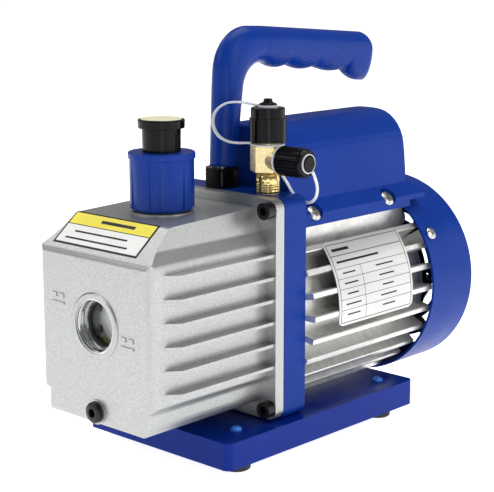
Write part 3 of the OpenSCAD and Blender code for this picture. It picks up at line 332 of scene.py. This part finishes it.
def handle_section(s):
    """Middle, direction, height above and below it and half width at s: 0-1 post, 1-2 bend, 2-3 grip."""
    post = Vector((math.sin(LEAN), math.cos(LEAN)))
    bend_start = Vector((PORT_Y, POST_FOOT_Z)) + post * POST_LEN
    bend_mid = bend_start + BEND_R * Vector((post[1], -post[0]))
    if s < 1:
        middle = Vector((PORT_Y, POST_FOOT_Z)) + post * (11 + (POST_LEN - 11) * s)
        return (middle, math.pi / 2 - LEAN, 8.3 + 1.4 * s, 8.3 + 1.4 * s + 1.2 * max(0, s - 0.6),
                9.2 * (0.9 + 0.1 * s))
    if s < 2:
        a = math.pi / 2 - LEAN - (math.pi / 2 - LEAN + DROP) * (s - 1)
        t = math.pi / 2 * (s - 1)
        o = CORNER_REACH - BEND_OUT
        c = o * (math.cos(t) + math.sin(t))
        edge = math.atan(o / CORNER_REACH)
        if t < edge:
            over = CORNER_REACH / math.cos(t)
        elif t > math.pi / 2 - edge:
            over = CORNER_REACH / math.sin(t)
        else:
            over = c + math.sqrt(c * c - 2 * o * o + BEND_OUT ** 2)
        return (bend_mid + BEND_R * Vector((-math.sin(a), math.cos(a))), a,
                9.7 + 2.3 * (s - 1) + over - CORNER_REACH, 10.2 + 0.4 * (s - 1), 9.2)
    d = GRIP_LEN * (s - 2)
    middle = bend_mid + BEND_R * Vector((math.sin(DROP), math.cos(DROP))) \
        + d * Vector((math.cos(DROP), -math.sin(DROP)))
    lobe = sum(math.sin(math.pi * (d - a) / (b - a))
               for a, b in zip(LOBE_ENDS, LOBE_ENDS[1:]) if a < d < b)
    end = 0 if d < 83 else 7.2 * math.sqrt(max(0, 1 - min(0, (d - 98) / 15) ** 2))
    return (middle, -DROP, 12 - end_round(d, 10), 10.6 + 0.024 * d + 2.3 * lobe + end - end_round(d, 4.5),
            9.4 - end_round(d, 6))


def add_handle():
    around = 56
    stations = [k / 24 for k in range(24)] + [1 + k / 30 for k in range(30)]
    stations += [2 + 0.955 * k / 330 for k in range(330)]
    stations += [2 + 0.955 + 0.045 * math.sin(math.pi / 2 * k / 14) for k in range(15)]
    vertices = []
    for s in stations:
        middle, a, up, down, half = handle_section(s)
        d = GRIP_LEN * (s - 2)
        groove = 0.0
        if 1.5 < d < 97:
            wave = 0.5 + 0.5 * math.cos(2 * math.pi * d / GROOVE_PITCH)
            groove = GROOVE_DEPTH * wave * min(1, (d - 1.5) / 4, (97 - d) / 4)
        for k in range(around):
            t = 2 * math.pi * k / around
            v = math.sin(t) * (up if math.sin(t) > 0 else down)
            low = min(1, max(0, 0.25 - v / 9))
            dent = groove * low + SEAM_DEPTH * (abs(math.cos(t)) < 0.06)
            x = (half - dent * abs(math.cos(t))) * math.cos(t)
            v -= math.copysign(dent * abs(math.sin(t)), v)
            z = middle[1] + v * math.cos(a)
            vertices.append(Vector((HANDLE_X + x, middle[0] - v * math.sin(a), max(z, NUT_TOP_Z))) * MM)
    handle = add_mesh("handle_shell", vertices, tube_faces(len(stations), around), "blue_plastic", "pump")
    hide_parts("handle")


# ---- straps -----------------------------------------------------------------------

def add_strap(name, node, route, across, thick, width, ring):
    """A moulded strap along the route, with its collar ring (centre, axis, inner, outer, from, to)."""
    points = smooth_points([Vector(p) for p in route], 6)
    across = Vector(across).normalized()
    corners = [math.pi / 8 * (k + 0.5) for k in range(16)]
    section = [tuple(math.copysign(abs(c) ** 0.45, c) for c in (math.cos(t), math.sin(t))) for t in corners]
    vertices = []
    for i, p in enumerate(points):
        along = (points[min(i + 1, len(points) - 1)] - points[max(i - 1, 0)]).normalized()
        normal = along.cross(across).normalized()
        vertices += [(p + across * (a * width / 2) + normal * (b * thick / 2)) * MM for a, b in section]
    faces = tube_faces(len(points), 16)
    centre, axis, inner, outer, low, high = ring
    axis, u, w = axis_frame(axis)
    profile = [(inner, low), (outer - 0.3, low), (outer, low + 0.3),
               (outer, high - 0.3), (outer - 0.3, high), (inner, high)]
    base = len(vertices)
    around = 72
    vertices += [(Vector(centre) + axis * z + (u * math.cos(a) + w * math.sin(a)) * r) * MM
                 for k in range(around) for a in [2 * math.pi * k / around] for r, z in profile]
    faces += [tuple(base + i for i in f) for f in tube_faces(around, len(profile), closed_loop=True)]
    strap = add_mesh(name, vertices, faces, "strap_plastic", None)
    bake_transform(strap)
    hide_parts(node)


def add_straps():
    turn = math.radians(17)
    out = Vector((-math.cos(turn), -math.sin(turn), 0))
    loop = [(9.4, 185.75), (14, 185.6), (19, 185.3), (25, 185.6), (30, 187.2), (33.6, 190), (35.8, 194),
            (36.3, 198.2), (34.8, 202.8), (31, 206.5), (26, 208.9), (19, 209.6), (12, 209), (6.3, 208.2)]
    route = [Vector((PORT_X, PORT_Y, z)) + out * reach for reach, z in loop]
    add_strap("top_strap_loop", "top_strap", route, (-out[1], out[0], 0), 1.3, 3,
              ((PORT_X, PORT_Y, 0), (0, 0, 1), 8, 10.1, 185, 186.3))
    route = [(42.15, -27.4, 168.9), (42.15, -26.6, 167.66), (42.55, -24.6, 164.78), (42.37, -21.8, 161.43),
             (41.64, -18.6, 157.97), (42.06, -15.8, 154.68), (45.45, -14.8, 152.3), (49.8, -14.4, 151.2),
             (53.52, -14.4, 151.99), (56.96, -15.4, 154.19), (59.95, -17, 157.58), (62.05, -19, 161.31),
             (63.5, -21.4, 165.04), (63.8, -23.2, 168.2), (63.7, -24.2, 170.4), (63.4, -25.2, 172.2)]
    add_strap("side_strap_loop", "side_strap", route, (0.77, -0.59, 0.24), 1.8, 1.8,
              ((0, PORT_Y, SIDE_PORT_Z), (1, 0, 0), 5.6, 8.6, 41.65, 42.95))


# ---- printed plate and label ------------------------------------------------------

def curved_patch(y0, y1, a0, a1, radius, thick, vertices, faces, steps=10):
    """Adds a thin patch that lies round the motor between two angles, in degrees."""
    base = len(vertices)
    for r in (radius, radius + thick):
        for i in range(steps + 1):
            a = math.radians(a0 + (a1 - a0) * i / steps)
            for y in (y0, y1):
                vertices.append(Vector((r * math.cos(a), y, MOTOR_Z + r * math.sin(a))) * MM)
    n = 2 * (steps + 1)
    for i in range(steps):
        p = base + 2 * i
        faces += [(p, p + 1, p + 3, p + 2), (p + n, p + n + 2, p + n + 3, p + n + 1),
                  (p, p + 2, p + n + 2, p + n), (p + 1, p + n + 1, p + n + 3, p + 3)]
    faces += [(base, base + n, base + n + 1, base + 1),
              (base + n - 2, base + n - 1, base + 2 * n - 1, base + 2 * n - 2)]


def add_nameplate():
    """The rating plate with its rounded corners, bent round the fins."""
    y0, y1, a0, a1, corner = 3.6, 77.6, -8.0, 41.0, 3.2
    middle, half_y = (y0 + y1) / 2, (y1 - y0) / 2
    radius = 61.54
    half_a = math.radians(a1 - a0) / 2 * radius
    rows = 28
    vertices, faces = [], []
    for r in (radius, radius + 0.38, radius + 0.41):
        for j in range(rows + 1):
            v = -half_a + 2 * half_a * j / rows
            if j in (0, rows):
                v *= 1 - 1e-6
            inside = max(0, abs(v) - half_a + corner)
            inset = corner - math.sqrt(max(0, corner ** 2 - inside ** 2))
            a = math.radians((a0 + a1) / 2) + v / radius
            trim = 0.15 if r > radius + 0.4 else 0
            for side in (-1, 1):
                y = middle + side * (half_y - inset - trim)
                vertices.append(Vector((r * math.cos(a), y, MOTOR_Z + r * math.sin(a))) * MM)
    n = 2 * (rows + 1)
    for j in range(rows):
        p = 2 * j
        faces += [(p, p + 1, p + 3, p + 2), (2 * n + p, 2 * n + p + 2, 2 * n + p + 3, 2 * n + p + 1)]
        for base in (0, n):
            faces += [(base + p, base + p + 2, base + n + p + 2, base + n + p),
                      (base + p + 1, base + n + p + 1, base + n + p + 3, base + p + 3)]
    for base in (0, n):
        faces += [(base, base + n, base + n + 1, base + 1),
                  (base + n - 2, base + n - 1, base + 2 * n - 1, base + 2 * n - 2)]
    plate = add_mesh("rating_plate", vertices, faces, "plate_silver", "pump", smooth=False)
    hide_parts("nameplate")


def add_plate_print():
    """Border, header line, rows and a column split of the rating plate, with plain bars for its entries."""
    vertices, faces = [], []
    line, radius, thick = 0.42, 61.97, 0.03
    degree = math.degrees(1 / 62.0)
    y0, y1, low, high = 5.6, 75.6, -6.3, 39.3

    def across(a, left=y0, right=y1, w=line):
        half = w * degree / 2
        curved_patch(left, right, a - half, a + half, radius, thick, vertices, faces, 2)

    def upright(y, a0, a1, w=line):
        curved_patch(y - w / 2, y + w / 2, a0, a1, radius, thick, vertices, faces, 16)

    across(low)
    across(high)
    upright(y0, low, high)
    upright(y1, low, high)
    across(32.2)
    rows = [24.6 - 5.9 * i for i in range(6)]
    for a in rows[:-1]:
        across(a, w=0.3)
    split = y0 + 0.34 * (y1 - y0)
    upright(split, low, rows[0], 0.3)
    across(35.7, 9, 25, 1.9)
    across(28.4, 9, 50, 1.3)
    for i, (a, b, c) in enumerate([(9, 8, 14), (4, 8.5, 12), (12, 7, 9), (8, 9.5, 13), (7, 8, 10)]):
        middle = rows[i] - 2.9
        across(middle, (y0 + split) / 2 - b / 1.3, (y0 + split) / 2 + b / 1.3, 0.9)
        across(middle, (y1 + split) / 2 - c / 1.6, (y1 + split) / 2 + c / 1.6, 0.9)
    add_mesh("plate_print", vertices, faces, "print_black", "pump", smooth=False)


SLOPE = {"low": (-137.5, 129.8), "high": (-114.8, 148.4), "round": 6.0}


def slope_point(s, lift):
    """Point at length s up the tank's front slope and over its upper edge, raised by lift, as (y, z)."""
    (y0, z0), (y1, z1) = SLOPE["low"], SLOPE["high"]
    length = math.hypot(y1 - y0, z1 - z0)
    angle = math.atan2(z1 - z0, y1 - y0)
    r = SLOPE["round"]
    flat = length - r * math.tan(angle / 2)
    along = (math.cos(angle), math.sin(angle))
    if s <= flat:
        return y0 + along[0] * s - along[1] * lift, z0 + along[1] * s + along[0] * lift
    turn = (s - flat) / r
    a = angle - turn
    cy = y0 + along[0] * flat + along[1] * r
    cz = z0 + along[1] * flat - along[0] * r
    return cy - math.sin(a) * (r + lift), cz + math.cos(a) * (r + lift)


def add_label():
    """A plain caution-coloured label without any wording: yellow band, white field and plain bars."""
    left, right, low, high = -40.0, 30.2, 5.4, 30.0

    def patch(x0, x1, s0, s1, lift, name, look):
        across, up = 24, 12
        vertices = []
        for level in (lift - 0.12, lift):
            for j in range(up + 1):
                y, z = slope_point(s0 + (s1 - s0) * j / up, level)
                vertices += [Vector((x0 + (x1 - x0) * i / across, y, z)) * MM for i in range(across + 1)]
        n, row = (across + 1) * (up + 1), across + 1
        faces = []
        for j in range(up):
            for i in range(across):
                p = j * row + i
                faces += [(p, p + row, p + row + 1, p + 1), (n + p, n + p + 1, n + p + row + 1, n + p + row)]
        rim = list(range(row)) + [j * row + across for j in range(1, up + 1)]
        rim += [up * row + i for i in range(across - 1, -1, -1)] + [j * row for j in range(up - 1, 0, -1)]
        faces += [(a, b, n + b, n + a) for a, b in zip(rim, rim[1:] + rim[:1])]
        return add_mesh(name, vertices, faces, look, "pump", smooth=False)

    split = low + 0.6 * (high - low)
    patch(left, right, low, high, 0.16, "label_border", "print_black")
    patch(left + 1.3, right - 1.3, split + 0.3, high - 1.3, 0.20, "label_band", "label_yellow")
    patch(left + 1.3, right - 1.3, low + 1.3, split - 0.3, 0.20, "label_field", "label_white")
    patch(-14, 14, split + 3.4, split + 5.6, 0.24, "label_bar_1", "print_black")
    patch(-29, 15, low + 9.4, low + 10.6, 0.24, "label_bar_2", "print_black")
    patch(-33, 19, low + 4.2, low + 5.4, 0.24, "label_bar_3", "print_black")


# ---- small details ----------------------------------------------------------------

def add_intake_thread():
    """Three thread crests and a collar on the neck below the hexagon."""
    rings = [(6.7, 156.8)]
    for i in range(3):
        z = 157.6 + 1.7 * i
        rings += [(7.15, z), (7.4, z + 0.35), (7.4, z + 0.9), (7.15, z + 1.25)]
    rings += [(7.15, 163.4), (7.3, 163.8), (7.3, 169.6), (6.7, 169.6)]
    lathe("intake_thread", rings, (PORT_X, PORT_Y, 0), (0, 0, 1), "polished_brass", "pump")


def add_sight_oil():
    """Oil behind the glass, up to a flat level below its middle."""
    vertices, radius, level = [], 15.6, -10.2
    start = math.asin(level / radius)
    count = 40
    outline = [(radius * math.cos(a), radius * math.sin(a)) for i in range(count + 1)
               for a in [math.pi - start + (math.pi + 2 * start) * i / count]]
    for y in (-125.5, -124.0):
        vertices += [Vector((x, y, GLASS_Z + z)) * MM for x, z in outline]
    n = len(outline)
    faces = [tuple(range(n)), tuple(range(2 * n - 1, n - 1, -1))]
    faces += [(i, n + i, n + (i + 1) % n, (i + 1) % n) for i in range(n)]
    add_mesh("sight_oil", vertices, faces, "oil", "pump", smooth=False)


def add_floor():
    """White ground that stays out of the kept model."""
    mesh = bpy.data.meshes.new("floor")
    mesh.from_pydata([(-30, -30, 0), (30, -30, 0), (30, 30, 0), (-30, 30, 0)], [], [(0, 1, 2, 3)])
    floor = bpy.data.objects.new("floor", mesh)
    floor.location.z = -0.0003
    bpy.context.scene.collection.objects.link(floor)
    dress(floor, "floor")


# ---- build ------------------------------------------------------------------------

bpy.context.scene.view_settings.view_transform = "Standard"
add_camera()
add_world(0.22)
add_light("key", (-0.9, -1.6, 1.3), (1.2, 1.2), 10.5)
add_light("side", (1.7, 0.2, 0.9), (0.9, 1.4), 10)
add_light("rear", (1.2, 1.5, 0.5), (1.4, 0.8), 5)
add_light("top", (0.0, 0.3, 1.7), (1.3, 1.3), 17)
add_light("edge", (1.15, -1.1, 0.15), (0.3, 0.7), 2.2)
add_light("left", (-1.3, -0.1, 1.4), (0.8, 0.8), 4.5)

looks = make_materials()
looks["floor"] = (Shader("floor", (0.93, 0.93, 0.93), 0.6, Emission_Color=(1, 1, 1, 1), Emission_Strength=0.9)
                  .tint(3, 0.01).gloss(20, 0.03))
slots = {s["node"]: s["material_slot"] for s in frame["record"]["subparts"]}
for name, node in nodes.items():
    dress(node, NODE_LOOKS.get(name, slots[name]))

add_handle()
add_straps()
add_nameplate()
add_plate_print()
add_label()
add_intake_thread()
add_sight_oil()
add_floor()
